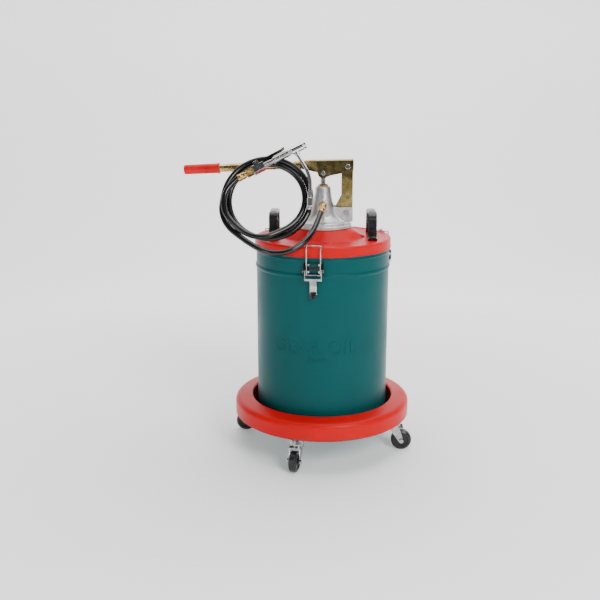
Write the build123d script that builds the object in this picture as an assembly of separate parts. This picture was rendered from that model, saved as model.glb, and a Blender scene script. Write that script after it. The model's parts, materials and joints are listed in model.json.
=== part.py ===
from build123d import *
import math
import os

# Hand-operated gear oil pump on a wheeled drum.
# Units are millimetres. +Z is up, the front of the pump faces -Y and the hand lever points
# to -X. The origin is on the floor, under the axis of the drum.

os.makedirs("parts", exist_ok=True)

# ---------------------------------------------------------------- driving dimensions
FIT = 0.05                    # radial clearance of a pin or shaft that turns or slides
GAP = 0.3                     # clearance between faces that move past each other

WHEEL_R = 25.5
WHEEL_WIDTH = 20.0
CASTER_CIRCLE_R = 190.0       # swivel axes of the casters lie on this circle
CASTER_TRAIL = 20.0           # wheel axle behind the swivel axis
CASTER_PLATE = 40.0
CASTER_PLATE_T = 2.5
CASTER_BOLT_R = 3.0
KINGPIN_R = 4.0
FORK_T = 2.5

DOLLY_R = 220.0
DOLLY_HOLE_R = 176.0
DOLLY_TOP_Z = 131.5
DOLLY_SHEET_T = 1.6
PLATE_Z0 = 82.5               # underside of the dolly's floor plate
PLATE_Z1 = 85.5
PLATE_R = 216.0

DRUM_R = 163.0
DRUM_WALL = 1.0
DRUM_BEAD_Z = 466.0
DRUM_LIP_BEAD_Z = 503.0
CURL_R = 3.0
CURL_Z = 525.0

LID_R = 166.5
LID_SKIRT_Z = 510.5
LID_RIM_Z = 535.0
LID_TOP_Z = 533.5
LID_SEAT_Z = 557.0
LID_SHEET_T = 1.2
LID_CONE_OUTER_R = 101.0
LID_CONE_INNER_R = 70.0
LID_HOLE_R = 24.0

FLANGE_R = 70.0
FLANGE_Z = 558.0              # underside of the pump head
HEAD_TOP_Z = 655.0
CHAMBER_R = 13.0
PORT_Z = 614.0                # axis of the outlet
BOSS_R = 13.5
BOSS_Y = -40.0
HEAD_BOLT_CIRCLE_R = 57.0
HEAD_BOLT_R = 4.0

TUBE_R = 19.5
TUBE_BORE_R = 17.0
TUBE_Z0 = 120.0
TUBE_Z1 = 575.0
ROD_R = 6.0
PISTON_Z = 158.0
PISTON_H = 24.0

FULCRUM = (58.7, 704.0)       # x, z of the lever's fixed pivot
ROD_PIN = (0.0, 688.6)        # x, z of the pin that drives the rod
PIN_R = 4.0
BRACKET_HALF_W = 15.0
LEVER_SHEET_T = 3.0
LEVER_HALF_W = 18.5
LEVER_TUBE_R = 9.5
LEVER_TUBE_START = (-28.0, 708.4)
LEVER_TUBE_END = (-334.0, 693.9)
GRIP_R = 12.0
GRIP_LENGTH = 87.0

HANDLE_X = 118.5
HANDLE_W = 22.0
HANDLE_T = 6.0
HANDLE_TOP_Z = 598.0
HANDLE_CROWN_R = 8.0          # its top corners as seen from the front

LATCH_AZIMUTHS = (-7.0, 113.0, -127.0)
LATCH_PIVOT = (174.0, 481.0)  # radius from the drum's axis, z
LATCH_CRANK = (-2.5, -10.0)   # bail pivot from lever pivot, in the same plane
LATCH_WIRE_R = 1.5
BAIL_BAR_R = 1.7
LATCH_WIRE_X = 16.25
LATCH_HALF_W = 22.4

HOSE_R = 6.75
COIL_CENTRE = (-128.7, -87.0, 633.2)
COIL_LEAN = 28.0              # degrees that the coil leans back on the lever
COIL_R = 106.0
COIL_PITCH = 14.0             # each turn lies inside the last by this much
COIL_BULGE = 3.1
GUN_LIFT = 18.5               # gun axis in front of the coil's middle plane


# ---------------------------------------------------------------- helpers
def ring(outer_r, inner_r, z0, z1):
    return Pos(0, 0, z0) * extrude(Circle(outer_r) - Circle(inner_r), z1 - z0)


def disc(radius, z0, z1):
    return Pos(0, 0, z0) * extrude(Circle(radius), z1 - z0)


def bar(start, end, radius):
    axis = Vector(*end) - Vector(*start)
    return extrude(Plane(origin=start, z_dir=axis) * Circle(radius), axis.length)


def hex_bar(start, end, across_flats):
    axis = Vector(*end) - Vector(*start)
    radius = across_flats / math.sqrt(3)
    return extrude(Plane(origin=start, z_dir=axis) * RegularPolygon(radius, 6), axis.length)


def block(x0, x1, y0, y1, z0, z1):
    middle = Pos((x0 + x1) / 2, (y0 + y1) / 2, (z0 + z1) / 2)
    return middle * Box(x1 - x0, y1 - y0, z1 - z0)


def side_plate(face_xz, y0, y1):
    """Extrude a face drawn in x and z from y0 to y1."""
    return Pos(0, y1, 0) * extrude(Plane.XZ * face_xz, y1 - y0)


def outline(points, radii):
    return make_face(FilletPolyline(*points, radius=radii, close=True))


def turned(points, radii=0):
    """Solid of revolution about Z from a closed section drawn in r and z."""
    return revolve(Plane.XZ * outline(points, radii), axis=Axis.Z)


def sheet_section(points, radii, thickness):
    """Points and radii of a bent sheet's section, the metal lying left of the path."""
    normals = []
    for (x0, y0), (x1, y1) in zip(points, points[1:]):
        length = math.hypot(x1 - x0, y1 - y0)
        normals.append((-(y1 - y0) / length, (x1 - x0) / length))
    inner = []
    inner_radii = []
    for i, (x, y) in enumerate(points):
        nx0, ny0 = normals[max(i - 1, 0)]
        nx1, ny1 = normals[min(i, len(normals) - 1)]
        scale = thickness / (1 + nx0 * nx1 + ny0 * ny1)
        inner.append((x + (nx0 + nx1) * scale, y + (ny0 + ny1) * scale))
        if 0 < i < len(points) - 1:
            left_turn = nx0 * ny1 - ny0 * nx1 > 0
            change = -thickness if left_turn else thickness
            inner_radii.append(max(radii[i - 1] + change, 0.2))
    all_points = points + inner[::-1]
    all_radii = [0] + radii + [0, 0] + inner_radii[::-1] + [0]
    return all_points, all_radii


def turned_sheet(points, radii, thickness):
    return turned(*sheet_section(points, radii, thickness))


def round_positions(radius, count, start_deg=0.0):
    for i in range(count):
        angle = math.radians(start_deg + 360 * i / count)
        yield radius * math.cos(angle), radius * math.sin(angle)


def tube_path(points, radius_share=0.45):
    """Straight runs joined by arcs as large as the runs allow; also returns the radii."""
    corners = [Vector(*p) for p in points]
    radii = []
    for before, here, after in zip(corners, corners[1:], corners[2:]):
        turn = math.radians((here - before).get_angle(after - here))
        shorter = min((here - before).length, (after - here).length)
        radii.append(radius_share * shorter / math.tan(turn / 2))
    return FilletPolyline(*points, radius=radii), radii


def tube_along(path, radius):
    start = Plane(origin=path @ 0, z_dir=path % 0)
    return sweep(start * Circle(radius), path=path)


# ---------------------------------------------------------------- dolly and casters
def dolly_ring():
    path = [(DOLLY_R, PLATE_Z1), (DOLLY_R, DOLLY_TOP_Z - 6), (DOLLY_HOLE_R, DOLLY_TOP_Z),
            (DOLLY_HOLE_R, PLATE_Z1)]
    return turned_sheet(path, [13, 4], DOLLY_SHEET_T)


CASTER_AZIMUTHS = (-18.0, 72.0, 162.0, 252.0)
# Direction from each swivel axis to its wheel, in degrees from +X.
CASTER_TRAIL_DIRECTIONS = (-105.0, 0.0, 90.0, 180.0)
CASTER_BOLT_HALF = 14.0


def caster_places():
    for azimuth in CASTER_AZIMUTHS:
        angle = math.radians(azimuth - 90)
        yield azimuth, CASTER_CIRCLE_R * math.cos(angle), CASTER_CIRCLE_R * math.sin(angle)


def plate_bolt_centres():
    for azimuth, x, y in caster_places():
        place = Pos(x, y, 0) * Rot(0, 0, azimuth)
        for dx in (-CASTER_BOLT_HALF, CASTER_BOLT_HALF):
            for dy in (-CASTER_BOLT_HALF, CASTER_BOLT_HALF):
                yield place * Pos(dx, dy, 0)


def dolly_floor_plate():
    plate = disc(PLATE_R, PLATE_Z0, PLATE_Z1)
    for place in plate_bolt_centres():
        plate -= place * disc(CASTER_BOLT_R + FIT, PLATE_Z0 - 1, PLATE_Z1 + 1)
    return plate


CASTER_TOP_Z = PLATE_Z0 - CASTER_PLATE_T
FORK_CROWN_Z = 58.0
FORK_BOWL_Z = 76.0
FORK_INNER = WHEEL_WIDTH / 2 + 1.0
BOLT_HEAD_H = 3.0


def caster_top_plate():
    """Bolted plate with the upper race and the riveted kingpin."""
    plate = extrude(RectangleRounded(CASTER_PLATE, CASTER_PLATE, 4), CASTER_PLATE_T)
    plate = Pos(0, 0, CASTER_TOP_Z) * plate
    plate += disc(14, FORK_BOWL_Z + GAP, CASTER_TOP_Z)
    plate += disc(KINGPIN_R, FORK_CROWN_Z - 4, CASTER_TOP_Z)
    plate += turned([(0, FORK_CROWN_Z - 4), (7, FORK_CROWN_Z - 4), (7, FORK_CROWN_Z - GAP),
                     (0, FORK_CROWN_Z - GAP)], [0, 1, 0, 0])
    for dx in (-CASTER_BOLT_HALF, CASTER_BOLT_HALF):
        for dy in (-CASTER_BOLT_HALF, CASTER_BOLT_HALF):
            plate -= Pos(dx, dy, 0) * disc(CASTER_BOLT_R + FIT, CASTER_TOP_Z - 1, PLATE_Z0 + 1)
    return plate


def caster_bolt():
    head = hex_bar((0, 0, CASTER_TOP_Z - BOLT_HEAD_H), (0, 0, CASTER_TOP_Z), 9)
    return head + disc(CASTER_BOLT_R, CASTER_TOP_Z - 0.5, PLATE_Z1)


def caster_fork():
    """Fork at a swivel axis on Z, its wheel trailing to +X."""
    crown_half_w = FORK_INNER + FORK_T
    crown = outline([(-16, -crown_half_w), (CASTER_TRAIL + 4, -crown_half_w),
                     (CASTER_TRAIL + 4, crown_half_w), (-16, crown_half_w)], [8, 3, 3, 8])
    fork = Pos(0, 0, FORK_CROWN_Z) * extrude(crown, FORK_T)
    fork += turned([(0, FORK_CROWN_Z), (17.5, FORK_CROWN_Z), (17.5, FORK_CROWN_Z + 8),
                    (15, FORK_BOWL_Z), (0, FORK_BOWL_Z)], [0, 0, 4, 2, 0])
    leg = outline([(-12, FORK_CROWN_Z + FORK_T), (14, FORK_CROWN_Z + FORK_T),
                   (CASTER_TRAIL + 6.5, WHEEL_R - 4), (CASTER_TRAIL - 4, WHEEL_R - 6.5)],
                  [0, 0, 5.5, 5.5])
    for y in (FORK_INNER, -FORK_INNER - FORK_T):
        fork += side_plate(leg, y, y + FORK_T)
    fork -= disc(KINGPIN_R + FIT, FORK_CROWN_Z - 1, FORK_BOWL_Z + 1)
    axle_hole = bar((CASTER_TRAIL, -30, WHEEL_R), (CASTER_TRAIL, 30, WHEEL_R), 3 + FIT)
    return fork - axle_hole


def caster_wheel():
    """Wheel centred on the origin with its axle on Y."""
    half = WHEEL_WIDTH / 2
    section = [(3 + FIT, -half), (7, -half), (7, -half + 2), (17, -half + 2), (17, -half),
               (20, -half), (WHEEL_R, -half + 3.5), (WHEEL_R, half - 3.5), (20, half),
               (17, half), (17, half - 2), (7, half - 2), (7, half), (3 + FIT, half)]
    radii = [0, 0.5, 0.5, 0.5, 0.5, 1, 2, 2, 1, 0.5, 0.5, 0.5, 0.5, 0]
    return Rot(90, 0, 0) * turned(section, radii)


def caster_axle():
    outer = FORK_INNER + FORK_T
    axle = bar((0, -outer, 0), (0, outer, 0), 3)
    axle += hex_bar((0, -outer - 4, 0), (0, -outer, 0), 10)
    axle += hex_bar((0, outer, 0), (0, outer + 4, 0), 10)
    return axle


def make_casters(nodes):
    plates = []
    for i, (azimuth, x, y) in enumerate(caster_places(), start=1):
        plates.append(Pos(x, y, 0) * Rot(0, 0, azimuth) * caster_top_plate())
        trailing = Pos(x, y, 0) * Rot(0, 0, CASTER_TRAIL_DIRECTIONS[i - 1])
        at_wheel = trailing * Pos(CASTER_TRAIL, 0, WHEEL_R)
        nodes[f"caster_fork_{i}"] = trailing * caster_fork()
        nodes[f"caster_wheel_{i}"] = at_wheel * caster_wheel()
        nodes[f"caster_axle_{i}"] = at_wheel * caster_axle()
    nodes["caster_top_plates"] = Compound(children=plates)
    bolts = [place * caster_bolt() for place in plate_bolt_centres()]
    nodes["caster_bolts"] = Compound(children=bolts)


# ---------------------------------------------------------------- drum
RIVET_R = 1.6
LATCH_RIVETS = ((-13.0, 477.5), (13.0, 477.5), (-13.0, 494.0), (13.0, 494.0))


def at_latches(solid):
    return [Rot(0, 0, azimuth) * solid for azimuth in LATCH_AZIMUTHS]


def rivet_holes():
    cutters = [bar((x, -DRUM_R - 6, z), (x, -DRUM_R + 4, z), RIVET_R + FIT)
               for x, z in LATCH_RIVETS]
    return at_latches(Compound(children=cutters))


def bead(z, height, stand_out):
    """Rolled stiffening bead around the drum."""
    arc = ThreePointArc((DRUM_R, z - height / 2), (DRUM_R + stand_out, z),
                        (DRUM_R, z + height / 2))
    root = DRUM_R - 0.5
    back = Polyline((DRUM_R, z + height / 2), (root, z + height / 2), (root, z - height / 2),
                    (DRUM_R, z - height / 2))
    return revolve(Plane.XZ * make_face(arc + back), axis=Axis.Z)


def drum_shell():
    shell = turned_sheet([(DRUM_R, PLATE_Z1), (DRUM_R, CURL_Z), (DRUM_R - 4, CURL_Z)],
                         [1.5], DRUM_WALL)
    shell += revolve(Plane.XZ * Pos(DRUM_R - 3.5, CURL_Z) * Circle(CURL_R), axis=Axis.Z)
    shell += bead(DRUM_BEAD_Z, 11, 2.4)
    shell += bead(DRUM_LIP_BEAD_Z, 5, 1.2)
    for cutter in rivet_holes():
        shell -= cutter
    return shell


def drum_bottom():
    path = [(DRUM_R - DRUM_WALL - 0.2, PLATE_Z1), (DRUM_R - DRUM_WALL - 0.2, 93), (0, 93)]
    return turned_sheet(path, [3], DRUM_WALL)


# ---------------------------------------------------------------- lid and handles
HANDLE_FOOT_Y = 60.0
HANDLE_SCREW_R = 3.0


def handle_screw_places():
    for side in (-1, 1):
        for end in (-1, 1):
            yield Pos(side * HANDLE_X, end * HANDLE_FOOT_Y, 0)


def head_bolt_places():
    for x, y in round_positions(HEAD_BOLT_CIRCLE_R, 4, start_deg=45):
        yield Pos(x, y, 0)


def lid():
    path = [(LID_R, LID_SKIRT_Z), (LID_R, LID_RIM_Z), (152.5, LID_RIM_Z), (150, LID_TOP_Z),
            (LID_CONE_OUTER_R, LID_TOP_Z), (LID_CONE_INNER_R, LID_SEAT_Z),
            (LID_HOLE_R, LID_SEAT_Z)]
    shell = turned_sheet(path, [5, 3, 3, 10, 4], LID_SHEET_T)
    hem = turned([(LID_R - 0.2, LID_SKIRT_Z), (LID_R + 1, LID_SKIRT_Z),
                  (LID_R + 1, LID_SKIRT_Z + 2.4), (LID_R - 0.2, LID_SKIRT_Z + 2.4)],
                 [0, 0.8, 0.8, 0])
    shell += hem
    for place in handle_screw_places():
        shell -= place * disc(HANDLE_SCREW_R + FIT, LID_TOP_Z - 5, LID_TOP_Z + 5)
    for place in head_bolt_places():
        shell -= place * disc(HEAD_BOLT_R + FIT, LID_SEAT_Z - 5, LID_SEAT_Z + 5)
    return shell


def lid_handle():
    """Arched carrying handle at x = 0, its feet on the lid."""
    z_foot = LID_TOP_Z + HANDLE_T / 2
    z_top = HANDLE_TOP_Z - HANDLE_T / 2
    points = [(0, -70, z_foot), (0, -47, z_foot), (0, -41, z_top), (0, 41, z_top),
              (0, 47, z_foot), (0, 70, z_foot)]
    path = FilletPolyline(*points, radius=[5, 20, 20, 5])
    start = Plane(origin=path @ 0, x_dir=(1, 0, 0), z_dir=path % 0)
    handle = sweep(start * RectangleRounded(HANDLE_W, HANDLE_T, 2.2), path=path)
    half = HANDLE_W / 2 + 1
    front_view = outline([(-half, LID_TOP_Z - 5), (-half, HANDLE_TOP_Z), (half, HANDLE_TOP_Z),
                          (half, LID_TOP_Z - 5)], [0, HANDLE_CROWN_R, HANDLE_CROWN_R, 0])
    handle &= side_plate(front_view, -80, 80)
    for y in (-HANDLE_FOOT_Y, HANDLE_FOOT_Y):
        handle -= Pos(0, y, 0) * disc(HANDLE_SCREW_R + FIT, LID_TOP_Z - 1, LID_TOP_Z + 9)
    return handle


def handle_screw():
    top = LID_TOP_Z + HANDLE_T
    under = LID_TOP_Z - LID_SHEET_T
    screw = disc(HANDLE_SCREW_R, under - 8, top + 1)
    screw += turned([(0, top), (6, top), (6, top + 1.5), (3, top + 3.4), (0, top + 3.4)],
                    [0, 0, 1, 1, 0])
    screw += hex_bar((0, 0, under - 5), (0, 0, under), 10)
    return screw


def make_lid(nodes):
    nodes["lid"] = lid()
    gasket_top = LID_RIM_Z - LID_SHEET_T
    nodes["lid_gasket"] = ring(161.4, 156, CURL_Z + CURL_R, gasket_top)
    handles = [Pos(side * HANDLE_X, 0, 0) * lid_handle() for side in (-1, 1)]
    nodes["lid_handles"] = Compound(children=handles)
    screws = [place * handle_screw() for place in handle_screw_places()]
    screws += [place * head_bolt() for place in head_bolt_places()]
    nodes["lid_bolts"] = Compound(children=screws)


# ---------------------------------------------------------------- toggle latches
# Each latch is drawn at the front of the drum: x is along the rim and y = -radius.
def radial_plate(points, radii, x0, x1):
    """Plate drawn in radius and z, extruded along x and placed at the front."""
    plane = Plane(origin=(x0, 0, 0), x_dir=(0, -1, 0), z_dir=(-1, 0, 0))
    return Pos(x1 - x0, 0, 0) * extrude(plane * outline(points, radii), x1 - x0)


def across(x0, x1, radius_from_axis, z, bar_r):
    return bar((x0, -radius_from_axis, z), (x1, -radius_from_axis, z), bar_r)


LATCH_BASE_R = DRUM_R + 0.1
LATCH_BASE_T = 1.5
EAR_X0 = 20.8
FLANGE_X0 = 18.4
FLANGE_X1 = 20.0
STUB_R = 2.5


def latch_base():
    pivot_r, pivot_z = LATCH_PIVOT
    sector = ring(LATCH_BASE_R + LATCH_BASE_T, LATCH_BASE_R, 473, 499)
    base = sector & block(-LATCH_HALF_W, LATCH_HALF_W, -190, -150, 470, 500)
    top_lip = ring(LATCH_BASE_R + 3.2, LATCH_BASE_R, 497, 499)
    base += top_lip & block(-LATCH_HALF_W, LATCH_HALF_W, -190, -150, 470, 500)
    middle_rib = ring(LATCH_BASE_R + 2.6, LATCH_BASE_R, 484, 486)
    base += middle_rib & block(-LATCH_HALF_W, LATCH_HALF_W, -190, -150, 470, 500)
    for z0, z1 in ((475, 482), (488, 495.5)):
        base -= block(-9.5, 9.5, -190, -150, z0, z1)
    ear = [(LATCH_BASE_R - 1.2, 473), (168.5, 469), (168.5, 465), (178.5, 465),
           (178.5, 488), (170, 499), (LATCH_BASE_R - 1.2, 499)]
    for x0 in (-LATCH_HALF_W, EAR_X0):
        base += radial_plate(ear, [0, 1, 1, 4, 5, 4, 0], x0, x0 + LATCH_HALF_W - EAR_X0)
        base -= across(x0 - 2, x0 + 4, pivot_r, pivot_z, STUB_R + FIT)
    base -= disc(DRUM_R + 0.05, 460, 505)
    for x, z in LATCH_RIVETS:
        base -= bar((x, -DRUM_R - 8, z), (x, -DRUM_R + 4, z), RIVET_R + FIT)
    return base


def latch_rivet(x, z):
    face = LATCH_BASE_R + LATCH_BASE_T
    sagitta = face - math.sqrt(face ** 2 - x ** 2)
    head_y = -face + sagitta
    rivet = bar((x, head_y, z), (x, -DRUM_R + DRUM_WALL + 1, z), RIVET_R)
    rivet += bar((x, head_y - 1.4, z), (x, head_y - 0.25, z), 2.6)
    rivet += bar((x, head_y - 0.3, z), (x, head_y, z), RIVET_R)
    tail_y = -DRUM_R + DRUM_WALL + 1
    rivet += bar((x, tail_y, z), (x, tail_y + 1.4, z), 2.6)
    return rivet


def latch_pivot_stub(side):
    pivot_r, pivot_z = LATCH_PIVOT
    stub = across(side * (FLANGE_X0 + 0.1), side * (LATCH_HALF_W + 0.1), pivot_r, pivot_z, STUB_R)
    head = across(side * LATCH_HALF_W, side * (LATCH_HALF_W + 1.4), pivot_r, pivot_z, 3.6)
    return stub + head


def latch_lever():
    pivot_r, pivot_z = LATCH_PIVOT
    crank_r, crank_z = pivot_r + LATCH_CRANK[0], pivot_z + LATCH_CRANK[1]
    cheek = [(pivot_r - 4.5, pivot_z + 4.5), (pivot_r + 4.5, pivot_z + 4.5),
             (pivot_r + 4.6, pivot_z - 22), (pivot_r + 1, pivot_z - 22),
             (crank_r - 3.2, crank_z - 3.5)]
    lever = None
    for x0 in (-FLANGE_X1, FLANGE_X0):
        plate = radial_plate(cheek, [4.4, 4.4, 1, 1, 3], x0, x0 + FLANGE_X1 - FLANGE_X0)
        lever = plate if lever is None else lever + plate
    lever += block(-FLANGE_X1, FLANGE_X1, -pivot_r - 4.6, -pivot_r - 3.1,
                   pivot_z - 22, pivot_z - 17)
    tail_path = [(pivot_r + 4.6, pivot_z - 17), (pivot_r + 4.6, pivot_z - 24),
                 (pivot_r - 1.5, pivot_z - 35), (pivot_r - 1.5, pivot_z - 52),
                 (pivot_r + 3.5, pivot_z - 64)]
    points, radii = sheet_section(tail_path, [3, 3, 6], -1.5)
    tail = radial_plate(points, radii, -8, 8)
    taper = Polyline((-30, pivot_z), (30, pivot_z), (8, pivot_z - 54), (4.5, pivot_z - 64),
                     (-4.5, pivot_z - 64), (-8, pivot_z - 54), close=True)
    lever += tail & side_plate(make_face(taper), -200, -150)
    for x0 in (-FLANGE_X1 - 1, FLANGE_X0 - 1):
        lever -= across(x0, x0 + 4, pivot_r, pivot_z, STUB_R + FIT)
        lever -= across(x0, x0 + 4, crank_r, crank_z, BAIL_BAR_R + FIT)
    return lever


BAIL_TOP_R = 160.0
BAIL_TOP_Z = LID_RIM_Z + LATCH_WIRE_R + 0.75


def latch_bail():
    """Wire loop: pivot bar in the latch lever, sides up the skirt, hook over the rim."""
    crank_r = LATCH_PIVOT[0] + LATCH_CRANK[0]
    crank_z = LATCH_PIVOT[1] + LATCH_CRANK[1]
    side_points = [(crank_r, crank_z), (crank_r, BAIL_TOP_Z), (BAIL_TOP_R, BAIL_TOP_Z)]
    points = [(-LATCH_WIRE_X, -r, z) for r, z in side_points]
    points += [(LATCH_WIRE_X, -r, z) for r, z in side_points[::-1]]
    path = FilletPolyline(*points, radius=[4, 3, 3, 4])
    bail = tube_along(path, LATCH_WIRE_R)
    bail += across(-FLANGE_X1 - 0.4, FLANGE_X1 + 0.4, crank_r, crank_z, BAIL_BAR_R)
    return bail


def make_latches(nodes):
    nodes["latch_bases"] = Compound(children=at_latches(latch_base()))
    rivets = [r for x, z in LATCH_RIVETS for r in at_latches(latch_rivet(x, z))]
    rivets += [s for side in (-1, 1) for s in at_latches(latch_pivot_stub(side))]
    nodes["latch_rivets"] = Compound(children=rivets)
    for i, (lever, bail) in enumerate(zip(at_latches(latch_lever()), at_latches(latch_bail()))):
        nodes[f"latch_lever_{i + 1}"] = lever
        nodes[f"latch_bail_{i + 1}"] = bail


# ---------------------------------------------------------------- pump head
SLOT_HALF_W = BRACKET_HALF_W + 0.3
EAR_OUTER_Y = 22.0
BRACKET_BOLT = (55.2, 594.0)
BRACKET_BOLT_R = 4.0
GLAND_BORE_R = 9.5
STUFFING_Z = 630.0


def bell():
    base = Polyline((CHAMBER_R, FLANGE_Z + 17), (TUBE_R + FIT, FLANGE_Z + 17),
                    (TUBE_R + FIT, FLANGE_Z), (FLANGE_R, FLANGE_Z), (FLANGE_R, 564.4),
                    (FLANGE_R - 1.2, 565.2), (67, 565.2), (66.2, 566), (66.2, 570.8),
                    (65, 572), (58.5, 572.3))
    skirt = Spline((58.5, 572.3), (47.5, 579), (37, 590), (30, 601.5), (24.8, 613),
                   (21.6, 627), (19.6, 642), (18.4, 653.4),
                   tangents=((-1, 0.25), (-0.1, 1)))
    top = Polyline((18.4, 653.4), (16.9, HEAD_TOP_Z), (GLAND_BORE_R, HEAD_TOP_Z),
                   (GLAND_BORE_R, STUFFING_Z), (ROD_R + 0.5, STUFFING_Z),
                   (ROD_R + 0.5, 626), (CHAMBER_R, 622), (CHAMBER_R, FLANGE_Z + 17))
    return revolve(Plane.XZ * make_face(base + skirt + top), axis=Axis.Z)


def pump_head():
    head = bell()
    arch = Pos(0, PORT_Z - 13) * Rectangle(2 * BOSS_R, 26) + Pos(0, PORT_Z) * Circle(BOSS_R)
    boss = side_plate(arch, BOSS_Y, -16)
    front = boss.faces().sort_by(Axis.Y)[0]
    boss = fillet(front.edges(), 2)
    head += boss
    ear = outline([(24, 572), (72, 572), (72, 607), (24, 607)], [0, 4, 4, 0])
    for y0 in (-EAR_OUTER_Y, SLOT_HALF_W):
        head += side_plate(ear, y0, y0 + EAR_OUTER_Y - SLOT_HALF_W)
    head -= block(31, 80, -SLOT_HALF_W, SLOT_HALF_W, 573.5, 640)
    bolt_x, bolt_z = BRACKET_BOLT
    for side in (-1, 1):
        recess = bar((bolt_x, side * (EAR_OUTER_Y - 1.5), bolt_z),
                     (bolt_x, side * (EAR_OUTER_Y + 20), bolt_z), 10.5)
        head -= recess
    head -= bar((bolt_x, -30, bolt_z), (bolt_x, 30, bolt_z), BRACKET_BOLT_R + FIT)
    head -= bar((0, -8, PORT_Z), (0, -60, PORT_Z), 5)
    head -= bar((0, -30, PORT_Z), (0, -60, PORT_Z), 6.5 + FIT)
    for place in head_bolt_places():
        head -= place * disc(HEAD_BOLT_R + FIT, FLANGE_Z - 1, FLANGE_Z + 9)
    return head


def head_bolt():
    under = LID_SEAT_Z - LID_SHEET_T
    bolt = hex_bar((0, 0, under - 5.3), (0, 0, under), 13)
    return bolt + disc(HEAD_BOLT_R, under - 1, FLANGE_Z + 8)


def head_gasket():
    gasket = ring(FLANGE_R - 2, LID_HOLE_R, LID_SEAT_Z, FLANGE_Z)
    for place in head_bolt_places():
        gasket -= place * disc(HEAD_BOLT_R + FIT, LID_SEAT_Z - 1, FLANGE_Z + 1)
    return gasket


def gland_nut():
    nut = hex_bar((0, 0, HEAD_TOP_Z), (0, 0, HEAD_TOP_Z + 6), 24)
    nut &= turned([(0, HEAD_TOP_Z), (13, HEAD_TOP_Z), (13, HEAD_TOP_Z + 3.5),
                   (10, HEAD_TOP_Z + 6), (0, HEAD_TOP_Z + 6)], 0)
    nut += disc(GLAND_BORE_R - FIT, HEAD_TOP_Z - 15, HEAD_TOP_Z + 1)
    return nut - disc(ROD_R + FIT, HEAD_TOP_Z - 20, HEAD_TOP_Z + 10)


def make_pump_head(nodes):
    nodes["pump_head"] = pump_head()
    nodes["head_gasket"] = head_gasket()
    nodes["gland_nut"] = gland_nut()
    nodes["gland_packing"] = ring(GLAND_BORE_R - FIT, ROD_R + FIT, STUFFING_Z, HEAD_TOP_Z - 15)


# ---------------------------------------------------------------- pump inside the drum
VALVE_BORE_R = 6.0
BALL_R = 8.0
BALL_SEAT_Z = 112.0
BALL_Z = BALL_SEAT_Z + math.sqrt(BALL_R ** 2 - VALVE_BORE_R ** 2) + GAP


def foot_valve():
    body = disc(TUBE_R + 1, 106, TUBE_Z0) + disc(TUBE_BORE_R - FIT, TUBE_Z0 - 1, 136)
    body -= disc(VALVE_BORE_R, 105, BALL_SEAT_Z + 1)
    body -= disc(10, BALL_SEAT_Z, 137)
    return body + bar((-12, 0, 133), (12, 0, 133), 1.5)


def strainer():
    """Slotted suction cup under the foot valve."""
    cup = turned_sheet([(0, 97), (TUBE_R + 1, 97), (TUBE_R + 1, 106)], [2], 1.2)
    for angle in range(0, 360, 45):
        slot = block(TUBE_R - 6, TUBE_R + 6, -2.5, 2.5, 99.5, 104.5)
        cup -= Rot(0, 0, angle) * slot
    for x, y in round_positions(12, 8):
        cup -= Pos(x, y, 0) * disc(2, 95, 99)
    return cup


def piston():
    body = disc(TUBE_BORE_R - GAP, PISTON_Z, PISTON_Z + PISTON_H)
    for z in (PISTON_Z + 4, PISTON_Z + 15):
        body -= ring(TUBE_BORE_R, TUBE_BORE_R - 4, z, z + 5)
    body -= disc(ROD_R + FIT, PISTON_Z - 1, PISTON_Z + PISTON_H + 1)
    for x, y in round_positions(9.5, 6):
        body -= Pos(x, y, 0) * disc(1.8, PISTON_Z - 1, PISTON_Z + PISTON_H + 1)
    return body


def piston_seals():
    rings = []
    for z in (PISTON_Z + 4, PISTON_Z + 15):
        rings.append(ring(TUBE_BORE_R - FIT, TUBE_BORE_R - 3.95, z + 0.05, z + 4.95))
    return Compound(children=rings)


def piston_rod():
    """Polished rod with a slotted eye for the lever's pin and a nut under the piston."""
    pin_x, pin_z = ROD_PIN
    eye = outline([(-11, pin_z - 9.5), (13.5, pin_z - 9.5), (13.5, pin_z + 9.5),
                   (-11, pin_z + 9.5)], [4, 4, 7, 7])
    rod = side_plate(eye, -12, 12)
    rod += disc(ROD_R, PISTON_Z - 6, pin_z - 5)
    slot = outline([(-6.6, pin_z - 5), (9.2, pin_z - 5), (9.2, pin_z + 5), (-6.6, pin_z + 5)],
                   4.9)
    rod -= side_plate(slot, -13, 13)
    return rod + hex_bar((0, 0, PISTON_Z - 6), (0, 0, PISTON_Z), 17)


def make_pump_inside(nodes):
    nodes["pump_tube"] = ring(TUBE_R, TUBE_BORE_R, TUBE_Z0, TUBE_Z1)
    nodes["foot_valve"] = foot_valve()
    nodes["foot_valve_ball"] = Pos(0, 0, BALL_Z) * Sphere(BALL_R)
    nodes["strainer"] = strainer()
    nodes["piston_rod"] = piston_rod()
    nodes["piston"] = piston()
    nodes["piston_seals"] = piston_seals()
    nodes["piston_valve_disc"] = ring(12.6, ROD_R + FIT, PISTON_Z + PISTON_H + GAP,
                                      PISTON_Z + PISTON_H + GAP + 1.5)


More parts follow.
